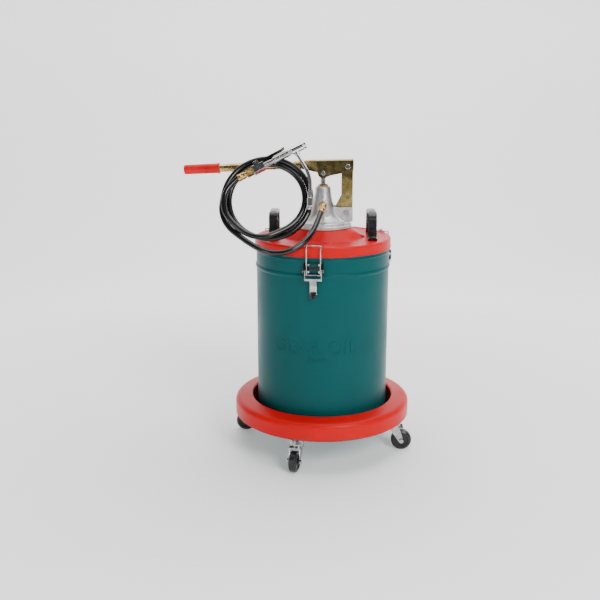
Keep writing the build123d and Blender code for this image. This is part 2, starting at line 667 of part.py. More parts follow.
# ---------------------------------------------------------------- bracket and lever
def fulcrum_bracket():
    """Pressed channel: web on the right, a flange on each side of the lever's line."""
    pin_x, pin_z = FULCRUM
    left, right = 31.6, 71.4
    side = outline([(left, 574), (right, 574), (right, 692), (pin_x + 10.8, pin_z),
                    (pin_x - 10.8, pin_z), (44.6, 690), (44.6, 633), (left, 608)],
                   [2, 0, 4, 0, 0, 6, 12, 4])
    side += Pos(pin_x, pin_z) * Circle(11)
    bracket = block(right - 3, right, -BRACKET_HALF_W, BRACKET_HALF_W, 574, 690)
    for y0 in (-BRACKET_HALF_W, BRACKET_HALF_W - 3):
        bracket += side_plate(side, y0, y0 + 3)
    bolt_x, bolt_z = BRACKET_BOLT
    bracket -= bar((bolt_x, -30, bolt_z), (bolt_x, 30, bolt_z), BRACKET_BOLT_R + FIT)
    return bracket - bar((pin_x, -30, pin_z), (pin_x, 30, pin_z), PIN_R + FIT)


def headed_pin(x, z, half_length, radius, head_r, head_h):
    pin = bar((x, -half_length, z), (x, half_length, z), radius)
    pin += bar((x, -half_length - head_h, z), (x, -half_length, z), head_r)
    pin += bar((x, half_length, z), (x, half_length + head_h, z), head_r)
    rims = pin.edges().filter_by(GeomType.CIRCLE).sort_by(Axis.Y)
    return fillet([rims[0], rims[-1]], head_h * 0.45)


def bracket_bolt():
    x, z = BRACKET_BOLT
    face = EAR_OUTER_Y - 1.5
    bolt = bar((x, -face, z), (x, face + 9, z), BRACKET_BOLT_R)
    bolt += hex_bar((x, -face - 5.3, z), (x, -face, z), 13)
    bolt += hex_bar((x, face, z), (x, face + 6.5, z), 13)
    return bolt


def lever_tube_z(x):
    (x0, z0), (x1, z1) = LEVER_TUBE_START, LEVER_TUBE_END
    return z0 + (z1 - z0) * (x - x0) / (x1 - x0)


LEVER_FOLD_R = 4.5            # outside radius of the channel's long folds


def lever_head():
    """Folded channel, open downwards, that closes in on the lever tube at its left end."""
    pin_x, pin_z = ROD_PIN
    side = outline([(72.5, 720.3), (72.5, 694), (16, 682), (2, 676), (-14, 690), (-56, 698.5),
                    (-56, 717.1)], [0, 3, 20, 0, 10, 2, 0])
    side += Pos(pin_x, pin_z) * Circle(13)
    plan = [(72.5, -18.5), (72.5, 18.5), (-13, 18.5), (-43, 12.6), (-56, 12.6), (-56, -12.6),
            (-43, -12.6), (-13, -18.5)]
    solid = Pos(0, 0, 670) * extrude(outline(plan, [0, 0, 15, 15, 0, 0, 15, 15]), 55)
    solid &= side_plate(side, -20, 20)
    top = solid.faces().sort_by(Axis.Z)[-1]
    solid = fillet([edge for edge in top.edges() if abs(edge.center().Y) > 6], LEVER_FOLD_R)
    inner_plan = [(80, -15.5), (80, 15.5), (-12.6, 15.5), (-43, 9.6), (-60, 9.6), (-60, -9.6),
                  (-43, -9.6), (-12.6, -15.5)]
    inside = Pos(0, 0, 660) * extrude(outline(inner_plan, [0, 0, 15, 15, 0, 0, 15, 15]), 65)
    under_web = outline([(90, 717.7), (90, 650), (-60, 650), (-60, 714.0)], 0)
    solid -= inside & side_plate(under_web, -20, 20)
    x_end = -70
    solid -= bar((-20, 0, lever_tube_z(-20)), (x_end, 0, lever_tube_z(x_end)),
                 LEVER_TUBE_R + FIT)
    for x, z in (FULCRUM, ROD_PIN):
        solid -= bar((x, -30, z), (x, 30, z), PIN_R + FIT)
    return solid


def lever_tube():
    (x0, z0), (x1, z1) = LEVER_TUBE_START, LEVER_TUBE_END
    tube = bar((x0, 0, z0), (x1, 0, z1), LEVER_TUBE_R)
    bore = bar((x0 + 1, 0, lever_tube_z(x0 + 1)), (x1 - 1, 0, lever_tube_z(x1 - 1)),
               LEVER_TUBE_R - 1.5)
    return tube - bore


def lever_grip():
    """Moulded sleeve with a collar, shallow finger grooves and a domed end."""
    x1, z1 = LEVER_TUBE_END
    axis = Vector(LEVER_TUBE_START[0] - x1, 0, LEVER_TUBE_START[1] - z1).normalized()
    end = Vector(x1, 0, z1) - axis * 2.5
    plane = Plane(origin=end, x_dir=(0, 1, 0), z_dir=axis)
    profile = outline([(0, 0), (GRIP_R - 0.5, 0), (GRIP_R, GRIP_LENGTH - 4),
                       (GRIP_R + 1, GRIP_LENGTH - 4), (GRIP_R + 1, GRIP_LENGTH),
                       (LEVER_TUBE_R + FIT, GRIP_LENGTH), (LEVER_TUBE_R + FIT, 2.4), (0, 2.4)],
                      [0, 4, 0.5, 0.5, 1.5, 0, 0, 0])
    grip = revolve(Plane.XZ * profile, axis=Axis.Z)
    return plane.location * grip


def make_lever(nodes):
    nodes["fulcrum_bracket"] = fulcrum_bracket()
    nodes["bracket_bolt"] = bracket_bolt()
    nodes["fulcrum_pin"] = headed_pin(*FULCRUM, LEVER_HALF_W + GAP, PIN_R, 6.5, 3.2)
    nodes["lever_head"] = lever_head()
    nodes["lever_tube"] = lever_tube()
    nodes["lever_grip"] = lever_grip()
    nodes["rod_pin"] = headed_pin(*ROD_PIN, LEVER_HALF_W, PIN_R, 6.0, 3.2)


# ---------------------------------------------------------------- outlet, hose and gun
LEAN = math.radians(COIL_LEAN)
UP = Vector(0, math.sin(LEAN), math.cos(LEAN))        # up the leaning plane
OUT = Vector(0, -math.cos(LEAN), math.sin(LEAN))      # out of it, towards the front
CENTRE = Vector(*COIL_CENTRE)
ELBOW = Vector(0, -60, PORT_Z)
ELBOW_DROP = Vector(-0.233, -0.816, -0.530).normalized()
FERRULE_LENGTH = 11.0


def in_plane(right, up, lift=0.0):
    """Point given along the coil's leaning plane and out of it."""
    return CENTRE + Vector(right, 0, 0) + UP * up + OUT * lift


def first_turn_radius(turns):
    return COIL_R - COIL_PITCH * turns + COIL_BULGE * math.sin(math.pi * turns) ** 2


def coil_point(turns):
    """Point of the coil after some turns, clockwise from its left-hand side.

    The second turn lies inside the first, then rolls over in front of it.
    """
    radius = first_turn_radius(turns)
    lift = 0.0
    if turns > 1:
        before = turns - 1
        share = min(max(2 * before - 1, 0), 1)
        roll = math.pi / 2 * share * share * (3 - 2 * share)
        radius = first_turn_radius(before) - COIL_PITCH * math.cos(roll)
        lift = COIL_PITCH * math.sin(roll)
    angle = 2 * math.pi * turns
    return in_plane(-radius * math.cos(angle), radius * math.sin(angle), lift)


HOSE_EXIT = ELBOW + ELBOW_DROP * (12 + FERRULE_LENGTH)
# Free stretch from the pump head, over the lid's edge and up into the coil.
HOSE_LEAD = [tuple(HOSE_EXIT), tuple(HOSE_EXIT + ELBOW_DROP * 48.5), (-29.9, -151.8, 556.8),
             (-55.0, -172.6, 536.9), (-89.4, -181.7, 524.4), (-125.9, -179.1, 525.3),
             (-158.2, -163.3, 537.9), (-190.2, -141.8, 554.8), (-220.9, -120.1, 574.5),
             (-236.3, -102.7, 604.0), tuple(coil_point(0))]

GUN_RISE = math.radians(28.9)
GUN_X = Vector(math.cos(GUN_RISE), 0, 0) + UP * math.sin(GUN_RISE)
GUN_Y = Vector(-math.sin(GUN_RISE), 0, 0) + UP * math.cos(GUN_RISE)
GUN_START = in_plane(-70.0, 44.6, GUN_LIFT)
GUN_PLANE = Plane(origin=GUN_START, x_dir=GUN_X, z_dir=OUT)
GUN_AXIS = Plane(origin=GUN_START, x_dir=GUN_Y, z_dir=GUN_X)
HEAD_FROM = 141.0             # swivelling nozzle head along the gun
HEAD_TO = 180.0
NOZZLE_AT = 151.0
NOZZLE_SLANT = 62.0           # length of the pipe's slanting run
NOZZLE_DROP = 50.0
COUPLER_R = 7.0
COUPLER_LENGTH = 33.0
MOUTH_R = 3.3


def gun_turned(points, radii=0):
    """Solid of revolution about the gun's axis, drawn in radius and distance along it."""
    return GUN_AXIS.location * turned(points, radii)


def gun_block(x0, x1, y0, y1, z0, z1, corner=2.0):
    """Rounded block: x along the gun, y across it in the coil's plane, z out of it."""
    section = Pos((y0 + y1) / 2, (z0 + z1) / 2) * RectangleRounded(y1 - y0, z1 - z0, corner)
    along = Plane(origin=GUN_START + GUN_X * x0, x_dir=GUN_Y, z_dir=GUN_X)
    return extrude(along * section, x1 - x0)


def outlet_elbow():
    face = BOSS_Y
    elbow = bar((0, -30.2, PORT_Z), (0, face - 1, PORT_Z), 6.5)
    elbow += hex_bar((0, face, PORT_Z), (0, face - 8, PORT_Z), 17)
    elbow += bar((0, face - 7, PORT_Z), tuple(ELBOW), 7.2)
    elbow += Pos(*ELBOW) * Sphere(8.2)
    elbow += bar(tuple(ELBOW), tuple(ELBOW + ELBOW_DROP * 8), 7.2)
    elbow += hex_bar(tuple(ELBOW + ELBOW_DROP * 6), tuple(ELBOW + ELBOW_DROP * 12), 15)
    elbow -= bar((0, -25, PORT_Z), tuple(ELBOW), 3)
    return elbow - bar(tuple(ELBOW), tuple(ELBOW + ELBOW_DROP * 15), 3)


def hose_ferrule():
    start = ELBOW + ELBOW_DROP * 12
    plane = Plane(origin=start, z_dir=ELBOW_DROP)
    sleeve = turned([(0, 0), (8, 0), (8, 3), (7.4, 4.5), (8, 6), (8, FERRULE_LENGTH),
                     (0, FERRULE_LENGTH)], [0, 1, 0.8, 0.5, 0.8, 1, 0])
    return plane.location * sleeve


def hose_coil():
    """Outer shape of the two full turns."""
    outer = COIL_R + HOSE_R
    inner = COIL_R - COIL_PITCH - 9.5
    half = HOSE_R + 0.25
    section = Pos((outer + inner) / 2, 0) * RectangleRounded(outer - inner, 2 * half, half - 0.5)
    solid = revolve(Plane.XZ * section, axis=Axis.Z)
    return Plane(origin=CENTRE, x_dir=(1, 0, 0), z_dir=OUT).location * solid


HOSE_TAIL = [tuple(coil_point(1.70)), tuple(in_plane(1.2, -94.5, 11.8)),
             tuple(in_plane(-27.3, -96.0, 14.0)), tuple(in_plane(-59.6, -82.9, 17.2)),
             tuple(in_plane(-90.9, -50.0, 18.8)), tuple(in_plane(-100.9, -25.0, 19.0)),
             tuple(in_plane(-100.5, 1.9, 18.8)), tuple(in_plane(-89.7, 26.4, GUN_LIFT)),
             tuple(GUN_START)]


def hose_end_fitting():
    ferrule = gun_turned([(0, 0), (8.6, 0), (8.6, 8), (7.9, 10), (8.6, 12), (8.6, 20), (0, 20)],
                         [0, 1, 1, 0.6, 1, 1, 0])
    neck = gun_turned([(0, 19), (6.5, 19), (6.5, 24), (0, 24)])
    nut = hex_bar(tuple(GUN_START + GUN_X * 23), tuple(GUN_START + GUN_X * 40), 17)
    return ferrule + neck + nut


BLOCK_FROM = 41.0
BLOCK_TO = 69.0
TRIGGER_PIVOT = (53.0, 12.5)  # along the gun, above its axis
TRIGGER_T = 2.0
TRIGGER_HALF_W = 7.0


def gun_body():
    """Valve block with the trigger's ears and pin, neck with a collar, and the barrel."""
    body = gun_block(BLOCK_FROM, BLOCK_TO, -10, 8.6, -9.5, 9.5)
    at_x, at_y = TRIGGER_PIVOT
    for z0 in (-9.5, 7.5):
        body += gun_block(at_x - 6, at_x + 6, 6, at_y + 4, z0, z0 + 2, corner=0.9)
    body += gun_turned([(0, 40), (7.2, 40), (7.2, 42), (0, 42)])
    spigot = HEAD_FROM + 10
    body += gun_turned([(0, BLOCK_TO - 1), (6.5, BLOCK_TO - 1), (6.5, 93), (9, 93), (9, 98),
                        (8.2, 98), (8.2, HEAD_FROM - 6), (6, HEAD_FROM - 4), (6, spigot),
                        (0, spigot)], [0, 0, 0.5, 1, 0.2, 0, 1, 0, 0.5, 0])
    middle = GUN_START + GUN_X * at_x + GUN_Y * at_y
    body += bar(tuple(middle - OUT * 10.4), tuple(middle + OUT * 10.4), 1.5)
    return body


def gun_trigger():
    """Bent strip lever along the barrel, hinged between the ears of the valve block."""
    at_x, at_y = TRIGGER_PIVOT
    path = [(at_x - 1, at_y + 2.9), (at_x + 22, at_y + 1.6), (at_x + 68, at_y + 2.2),
            (at_x + 77, at_y + 3.8)]
    points, radii = sheet_section(path, [20, 12], -TRIGGER_T)
    strip = GUN_PLANE * outline(points, radii)
    trigger = Pos(*(OUT * -TRIGGER_HALF_W)) * extrude(strip, 2 * TRIGGER_HALF_W, dir=tuple(OUT))
    middle = GUN_START + GUN_X * at_x + GUN_Y * at_y
    trigger += bar(tuple(middle - OUT * 7), tuple(middle + OUT * 7), 3)
    return trigger - bar(tuple(middle - OUT * 12), tuple(middle + OUT * 12), 1.5 + FIT)


def nozzle_head():
    """Cap that turns on the barrel's spigot and carries the nozzle pipe."""
    head = gun_turned([(0, HEAD_FROM), (8.6, HEAD_FROM), (9, HEAD_FROM + 1), (9, HEAD_TO - 9),
                       (8.2, HEAD_TO - 8), (8.2, HEAD_TO - 6), (9, HEAD_TO - 5),
                       (9, HEAD_TO - 1.5), (7, HEAD_TO), (0, HEAD_TO)],
                      [0, 0.3, 0.3, 0.5, 0, 0, 0.5, 1, 1, 0])
    boss_root = GUN_START + GUN_X * NOZZLE_AT
    head += bar(tuple(boss_root), tuple(boss_root - GUN_Y * 14), 6)
    return head - gun_turned([(0, HEAD_FROM - 1), (6 + FIT, HEAD_FROM - 1),
                              (6 + FIT, HEAD_FROM + 10 + GAP), (0, HEAD_FROM + 10 + GAP)])


def nozzle_points():
    root = GUN_START + GUN_X * NOZZLE_AT - GUN_Y * 14
    bend = root - GUN_Y * NOZZLE_SLANT
    return [tuple(root), tuple(bend), tuple(bend - UP * NOZZLE_DROP)]


def nozzle_pipe():
    path = FilletPolyline(*nozzle_points(), radius=[90])
    end = Vector(*nozzle_points()[-1])
    return tube_along(path, 4) + hex_bar(tuple(end), tuple(end + UP * 12), 11)


def coupler():
    top = Vector(*nozzle_points()[-1])
    plane = Plane(origin=top, z_dir=-UP)
    body = turned([(0, 0), (5.5, 0), (5.5, 4), (COUPLER_R, 5), (COUPLER_R, 25), (6.2, 26),
                   (6.2, 29), (5, COUPLER_LENGTH), (MOUTH_R, COUPLER_LENGTH),
                   (MOUTH_R, COUPLER_LENGTH - 8), (0, COUPLER_LENGTH - 8)],
                  [0, 0.5, 0, 1, 1, 0, 0, 1, 0, 0, 0])
    return plane.location * body


def make_hose(nodes):
    nodes["outlet_elbow"] = outlet_elbow()
    nodes["hose_ferrule"] = hose_ferrule()
    for name, points in (("hose_lead", HOSE_LEAD), ("hose_tail", HOSE_TAIL)):
        path, radii = tube_path(points)
        nodes[name] = tube_along(path, HOSE_R)
        print(name, "length", round(path.length, 1), "radii", [round(r) for r in radii])
        print("  volume ratio", nodes[name].volume / (math.pi * HOSE_R ** 2 * path.length))
    nodes["hose_coil"] = hose_coil()
    nodes["hose_end_fitting"] = hose_end_fitting()
    nodes["gun_body"] = gun_body()
    nodes["gun_trigger"] = gun_trigger()
    nodes["nozzle_head"] = nozzle_head()
    nodes["nozzle_pipe"] = nozzle_pipe()
    nodes["coupler"] = coupler()


# ---------------------------------------------------------------- assembly
def build():
    nodes = {}
    nodes["dolly_ring"] = dolly_ring()
    nodes["dolly_floor_plate"] = dolly_floor_plate()
    make_casters(nodes)
    nodes["drum_shell"] = drum_shell()
    nodes["drum_bottom"] = drum_bottom()
    make_lid(nodes)
    make_latches(nodes)
    make_pump_head(nodes)
    make_pump_inside(nodes)
    make_lever(nodes)
    make_hose(nodes)
    for name, solid in nodes.items():
        export_step(solid, f"parts/{name}.step")
    print(len(nodes), "nodes written")


build()
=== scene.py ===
import json
import math

import bmesh
import bpy
from mathutils import Matrix, Vector


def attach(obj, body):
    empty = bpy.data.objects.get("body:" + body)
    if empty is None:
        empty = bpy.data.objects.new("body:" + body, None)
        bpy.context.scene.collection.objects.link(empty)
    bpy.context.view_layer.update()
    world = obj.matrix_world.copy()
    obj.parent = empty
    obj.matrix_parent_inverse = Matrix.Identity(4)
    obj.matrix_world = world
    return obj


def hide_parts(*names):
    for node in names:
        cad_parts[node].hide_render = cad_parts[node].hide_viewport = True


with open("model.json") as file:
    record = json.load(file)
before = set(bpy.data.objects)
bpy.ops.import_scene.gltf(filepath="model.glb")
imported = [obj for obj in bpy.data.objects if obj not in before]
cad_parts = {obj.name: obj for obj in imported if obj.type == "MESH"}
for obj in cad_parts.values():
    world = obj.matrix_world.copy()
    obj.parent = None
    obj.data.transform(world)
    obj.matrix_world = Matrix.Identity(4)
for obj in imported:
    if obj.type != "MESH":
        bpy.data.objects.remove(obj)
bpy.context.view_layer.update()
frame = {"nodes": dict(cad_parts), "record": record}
nodes = frame["nodes"]
STAND = "stand"


# ---------------------------------------------------------------- camera and light
CAMERA_PLACE = (0, -2.0637, 0.888)
CAMERA_DOWN = 14.07           # degrees below level
CAMERA_LEFT = 0.0271          # radians to the left of straight ahead
LENS_MM = 50.98
SENSOR_MM = 36


def make_camera():
    data = bpy.data.cameras.new("camera")
    data.lens = LENS_MM
    data.sensor_width = SENSOR_MM
    camera = bpy.data.objects.new("camera", data)
    camera.location = CAMERA_PLACE
    camera.rotation_euler = (math.radians(90 - CAMERA_DOWN), 0, CAMERA_LEFT)
    bpy.context.scene.collection.objects.link(camera)
    bpy.context.scene.camera = camera


def area_light(name, place, aim, size, power):
    data = bpy.data.lights.new(name, "AREA")
    data.shape = "RECTANGLE"
    data.size, data.size_y = size
    data.energy = power
    light = bpy.data.objects.new(name, data)
    light.location = place
    light.rotation_euler = (Vector(aim) - Vector(place)).to_track_quat("-Z", "Y").to_euler()
    bpy.context.scene.collection.objects.link(light)


def studio_world():
    """Soft surroundings in broad bands of lighter and darker grey."""
    world = bpy.data.worlds.new("studio")
    world.use_nodes = True
    tree = world.node_tree
    place = tree.nodes.new("ShaderNodeTexCoord").outputs["Generated"]
    wave = tree.nodes.new("ShaderNodeTexWave")
    wave.bands_direction = "X"
    wave.inputs["Scale"].default_value = 0.55
    wave.inputs["Distortion"].default_value = 1.5
    wave.inputs["Detail"].default_value = 0
    tree.links.new(place, wave.inputs["Vector"])
    shade = tree.nodes.new("ShaderNodeMapRange")
    shade.inputs["To Min"].default_value = 0.10
    shade.inputs["To Max"].default_value = 0.75
    tree.links.new(wave.outputs["Fac"], shade.inputs["Value"])
    background = tree.nodes["Background"]
    tree.links.new(shade.outputs["Result"], background.inputs["Color"])
    background.inputs["Strength"].default_value = 0.35
    bpy.context.scene.world = world


make_camera()
area_light("key", (1.5, -2.6, 2.1), (0, 0, 0.4), (1.2, 1.2), 84)
area_light("fill", (-1.8, -2.8, 1.0), (0, 0, 0.4), (0.8, 1.6), 16)
area_light("top", (0.2, 0.3, 2.6), (0, 0, 0.3), (2.2, 2.2), 60)
studio_world()


# ---------------------------------------------------------------- materials
class Paint:
    """A Principled material and short ways to feed its sockets from noise."""

    def __init__(self, name, colour, roughness, metallic=0.0, edge=0.0006, **constants):
        self.material = bpy.data.materials.new(name)
        self.material.use_nodes = True
        self.tree = self.material.node_tree
        self.shader = self.tree.nodes["Principled BSDF"]
        self.colour = colour
        self.roughness = roughness
        self.set("Base Color", (*colour, 1))
        self.set("Roughness", roughness)
        self.set("Metallic", metallic)
        for key, value in constants.items():      # specular_ior_level is "Specular IOR Level"
            self.set(key.replace("_", " ").title().replace("Ior", "IOR"), value)
        self.place = self.tree.nodes.new("ShaderNodeTexCoord").outputs["Object"]
        rounded = self.tree.nodes.new("ShaderNodeBevel")
        rounded.samples = 4
        rounded.inputs["Radius"].default_value = edge
        self.height = rounded.outputs["Normal"]
        self.link(self.height, self.shader.inputs["Normal"])

    def set(self, socket, value):
        self.shader.inputs[socket].default_value = value

    def link(self, output, socket):
        self.tree.links.new(output, socket)

    def stretched(self, scale):
        mapping = self.tree.nodes.new("ShaderNodeMapping")
        mapping.inputs["Scale"].default_value = scale
        self.link(self.place, mapping.inputs["Vector"])
        return mapping.outputs["Vector"]

    def noise(self, scale, detail=3.0, stretch=(1, 1, 1), distortion=0.0):
        node = self.tree.nodes.new("ShaderNodeTexNoise")
        node.inputs["Scale"].default_value = scale
        node.inputs["Detail"].default_value = detail
        node.inputs["Distortion"].default_value = distortion
        self.link(self.stretched(stretch), node.inputs["Vector"])
        return node.outputs["Fac"]

    def spots(self, scale, size):
        """1 at the middle of scattered round spots, 0 outside them."""
        node = self.tree.nodes.new("ShaderNodeTexVoronoi")
        node.inputs["Scale"].default_value = scale
        self.link(self.place, node.inputs["Vector"])
        return self.spread(node.outputs["Distance"], 0, size, 1, 0)

    def spread(self, value, from_low, from_high, to_low, to_high):
        node = self.tree.nodes.new("ShaderNodeMapRange")
        for socket, number in zip(node.inputs[1:5], (from_low, from_high, to_low, to_high)):
            socket.default_value = number
        self.link(value, node.inputs["Value"])
        return node.outputs["Result"]

    def mix_colour(self, factor, first, second):
        node = self.tree.nodes.new("ShaderNodeMix")
        node.data_type = "RGBA"
        self.link(factor, node.inputs["Factor"])
        for socket, colour in ((node.inputs[6], first), (node.inputs[7], second)):
            if isinstance(colour, tuple):
                socket.default_value = (*colour, 1)
            else:
                self.link(colour, socket)
        return node.outputs[2]

    def axes(self):
        split = self.tree.nodes.new("ShaderNodeSeparateXYZ")
        self.link(self.place, split.inputs["Vector"])
        return split.outputs

    def product(self, first, second):
        node = self.tree.nodes.new("ShaderNodeMath")
        node.operation = "MULTIPLY"
        self.link(first, node.inputs[0])
        self.link(second, node.inputs[1])
        return node.outputs["Value"]

    def vary_colour(self, low, high, scale, detail=4.0, contrast=0.25):
        """Base colour drifting between two shades."""
        factor = self.spread(self.noise(scale, detail), 0.5 - contrast, 0.5 + contrast, 0, 1)
        self.base = self.mix_colour(factor, low, high)
        self.link(self.base, self.shader.inputs["Base Color"])

    def overlay(self, factor, colour):
        """Lay a second colour over the base colour where the factor is high."""
        self.base = self.mix_colour(factor, self.base, colour)
        self.link(self.base, self.shader.inputs["Base Color"])

    def vary_roughness(self, scale, amount):
        level = self.spread(self.noise(scale, 5.0), 0.25, 0.75,
                            self.roughness - amount, self.roughness + amount)
        self.link(level, self.shader.inputs["Roughness"])

    def bump(self, height, strength, depth_m):
        node = self.tree.nodes.new("ShaderNodeBump")
        node.inputs["Strength"].default_value = strength
        node.inputs["Distance"].default_value = depth_m
        self.link(height, node.inputs["Height"])
        self.link(self.height, node.inputs["Normal"])
        self.height = node.outputs["Normal"]
        self.link(self.height, self.shader.inputs["Normal"])


def scaled(colour, share):
    return tuple(channel * share for channel in colour)


def enamel(name, colour, gloss):
    """Stoved enamel: an even colour, fine orange peel and faint dust in patches."""
    paint = Paint(name, colour, 0.34, ior=1.2, specular_ior_level=gloss)
    paint.vary_colour(scaled(colour, 0.86), scaled(colour, 1.1), 5, 5)
    dust = paint.spread(paint.noise(38, 8), 0.56, 0.8, 0, 0.10)
    paint.overlay(dust, scaled(colour, 1.7))
    paint.vary_roughness(14, 0.07)
    paint.bump(paint.noise(420, 2), 0.22, 0.00025)
    paint.bump(paint.noise(26, 2), 0.18, 0.0011)
    return paint.material


def plated(name, colour, roughness, mottle):
    """Plated or blackened steel: mottled, with grime in patches and hairline scratches."""
    metal = Paint(name, colour, roughness, 1.0)
    metal.vary_colour(scaled(colour, 1 - mottle), colour, 60, 6)
    grime = metal.spread(metal.noise(110, 8), 0.56, 0.74, 0, 0.5)
    metal.overlay(grime, scaled(colour, 0.35))
    metal.vary_roughness(90, 0.09)
    metal.bump(metal.noise(900, 3), 0.12, 0.0001)
    metal.bump(metal.noise(130, 4, (1, 1, 7)), 0.08, 0.0002)
    return metal.material


def passivated(name):
    """Yellow zinc: gold with brown and olive clouds, darkest on the lever's plate."""
    gold = (0.80, 0.61, 0.28)
    metal = Paint(name, gold, 0.24, 1.0)
    metal.vary_colour((0.46, 0.31, 0.10), gold, 45, 7, 0.16)
    olive = metal.spread(metal.noise(28, 6, distortion=0.8), 0.44, 0.62, 0, 0.6)
    metal.overlay(olive, (0.22, 0.18, 0.06))
    brown = metal.spread(metal.noise(160, 8), 0.55, 0.7, 0, 0.7)
    metal.overlay(brown, (0.10, 0.06, 0.02))
    x, _, z = metal.axes()
    above = metal.spread(z, 0.668, 0.682, 0, 1)
    beside = metal.spread(x, -0.05, -0.03, 0, 0.85)
    metal.overlay(metal.product(above, beside), (0.085, 0.072, 0.028))
    metal.vary_roughness(80, 0.1)
    metal.bump(metal.noise(800, 3), 0.15, 0.0001)
    metal.bump(metal.noise(60, 5, (1, 1, 5)), 0.12, 0.0004)
    return metal.material


def polished(name, colour, roughness):
    metal = Paint(name, colour, roughness, 1.0)
    metal.vary_colour(scaled(colour, 0.86), colour, 40, 3)
    metal.vary_roughness(160, roughness * 0.5)
    metal.bump(metal.noise(260, 2), 0.05, 0.0001)
    return metal.material


def machined_brass(name):
    colour = (0.66, 0.42, 0.14)
    metal = Paint(name, colour, 0.22, 1.0)
    metal.vary_colour((0.44, 0.27, 0.08), (0.72, 0.49, 0.19), 70, 5)
    tarnish = metal.spread(metal.noise(150, 8), 0.55, 0.72, 0, 0.7)
    metal.overlay(tarnish, (0.16, 0.09, 0.03))
    metal.vary_roughness(120, 0.09)
    metal.bump(metal.noise(700, 2, (1, 1, 6)), 0.12, 0.0001)
    return metal.material


def cast_metal(name):
    """Sand casting: pebbled skin with pinholes, light where it has been rubbed."""
    colour = (0.66, 0.66, 0.67)
    metal = Paint(name, colour, 0.36, 0.9)
    metal.vary_colour((0.46, 0.46, 0.47), (0.78, 0.78, 0.79), 90, 8, 0.25)
    metal.overlay(metal.spots(900, 0.18), (0.22, 0.22, 0.22))
    metal.vary_roughness(200, 0.1)
    metal.bump(metal.noise(620, 5), 0.5, 0.0004)
    metal.bump(metal.noise(150, 4), 0.3, 0.0007)
    return metal.material


def rubber(name, colour, roughness, grain_scale=900, grain=0.2):
    skin = Paint(name, colour, roughness, specular_ior_level=0.5)
    skin.vary_colour(scaled(colour, 0.6), scaled(colour, 1.5), 30, 6)
    bloom = skin.spread(skin.noise(60, 8), 0.6, 0.84, 0, 0.06)
    skin.overlay(bloom, (0.12, 0.12, 0.12))
    skin.vary_roughness(45, 0.08)
    skin.bump(skin.noise(grain_scale, 3), grain, 0.0002)
    return skin.material


def moulded_plastic(name, colour, roughness, gloss=0.5):
    skin = Paint(name, colour, roughness, specular_ior_level=gloss)
    skin.vary_colour(scaled(colour, 0.8), scaled(colour, 1.15), 24, 4)
    scuffs = skin.spread(skin.noise(85, 9, (1, 1, 3)), 0.62, 0.78, 0, 0.12)
    skin.overlay(scuffs, tuple(min(1, channel + 0.06) for channel in colour))
    skin.vary_roughness(70, 0.07)
    skin.bump(skin.spots(1500, 0.5), 0.12, 0.0001)
    skin.bump(skin.noise(500, 4), 0.14, 0.0002)
    return skin.material


TEAL = (0.0, 0.076, 0.080)
RED = (0.58, 0.0, 0.004)
materials = {
    "painted_teal": enamel("painted_teal", TEAL, 0.5),
    "painted_red": enamel("painted_red", RED, 0.6),
    "zinc_silver": plated("zinc_silver", (0.52, 0.52, 0.53), 0.2, 0.5),
    "yellow_zinc": passivated("yellow_zinc"),
    "chrome": polished("chrome", (0.80, 0.80, 0.82), 0.07),
    "steel": polished("steel", (0.52, 0.52, 0.54), 0.14),
    "brass": machined_brass("brass"),
    "cast_aluminium": cast_metal("cast_aluminium"),
    "black_lacquer": enamel("black_lacquer", (0.004, 0.004, 0.0045), 1.0),
    "wheel_rubber": rubber("wheel_rubber", (0.004, 0.004, 0.0045), 0.36),
    "gasket_rubber": rubber("gasket_rubber", (0.008, 0.008, 0.008), 0.6),
    "hose_rubber": rubber("hose_rubber", (0.0025, 0.003, 0.003), 0.2, 1400, 0.08),
    "black_oxide": plated("black_oxide", (0.045, 0.042, 0.040), 0.26, 0.5),
    "black_plastic": moulded_plastic("black_plastic", (0.004, 0.004, 0.0045), 0.28, 0.6),
    "red_grip": moulded_plastic("red_grip", RED, 0.3, 0.25),
}

for subpart in frame["record"]["subparts"]:
    node = nodes[subpart["node"]]
    node.data.materials.clear()
    node.data.materials.append(materials[subpart["material_slot"]])


def add_piece(name, mesh_or_curve, slot, body, smooth_angle=None):
    """Link an object, give it its material slot and let it ride on a CAD body."""
    piece = bpy.data.objects.new(name, mesh_or_curve)
    bpy.context.scene.collection.objects.link(piece)
    mesh_or_curve.materials.append(materials[slot])
    if smooth_angle is not None:
        mesh_or_curve.shade_smooth()
        mesh_or_curve.set_sharp_from_angle(angle=math.radians(smooth_angle))
    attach(piece, body)
    return piece


# ---------------------------------------------------------------- hose
LEAN = math.radians(28)       # how far the coil's plane leans back from upright
UP = Vector((0, math.sin(LEAN), math.cos(LEAN)))
OUT = Vector((0, -math.cos(LEAN), math.sin(LEAN)))
COIL_CENTRE = Vector((-0.1287, -0.087, 0.6332))
COIL_R = 0.106
COIL_TURNS = 1.70
COIL_PITCH = 0.014            # spacing of the turns
COIL_BULGE = 0.0031           # extra radius half way round the first turn
POINTS_PER_TURN = 16
HOSE_R = 0.00675


def in_plane(right, up, lift=0.0):
    return COIL_CENTRE + Vector((right, 0, 0)) + UP * up + OUT * lift


def first_turn_radius(turns):
    return COIL_R - COIL_PITCH * turns + COIL_BULGE * math.sin(math.pi * turns) ** 2


def coil_point(turns):
    """The second turn lies inside the first, then rolls over in front of it."""
    radius = first_turn_radius(turns)
    lift = 0.0
    if turns > 1:
        before = turns - 1
        share = min(max(2 * before - 1, 0), 1)
        roll = math.pi / 2 * share * share * (3 - 2 * share)
        radius = first_turn_radius(before) - COIL_PITCH * math.cos(roll)
        lift = COIL_PITCH * math.sin(roll)
    angle = 2 * math.pi * turns
    return in_plane(-radius * math.cos(angle), radius * math.sin(angle), lift)


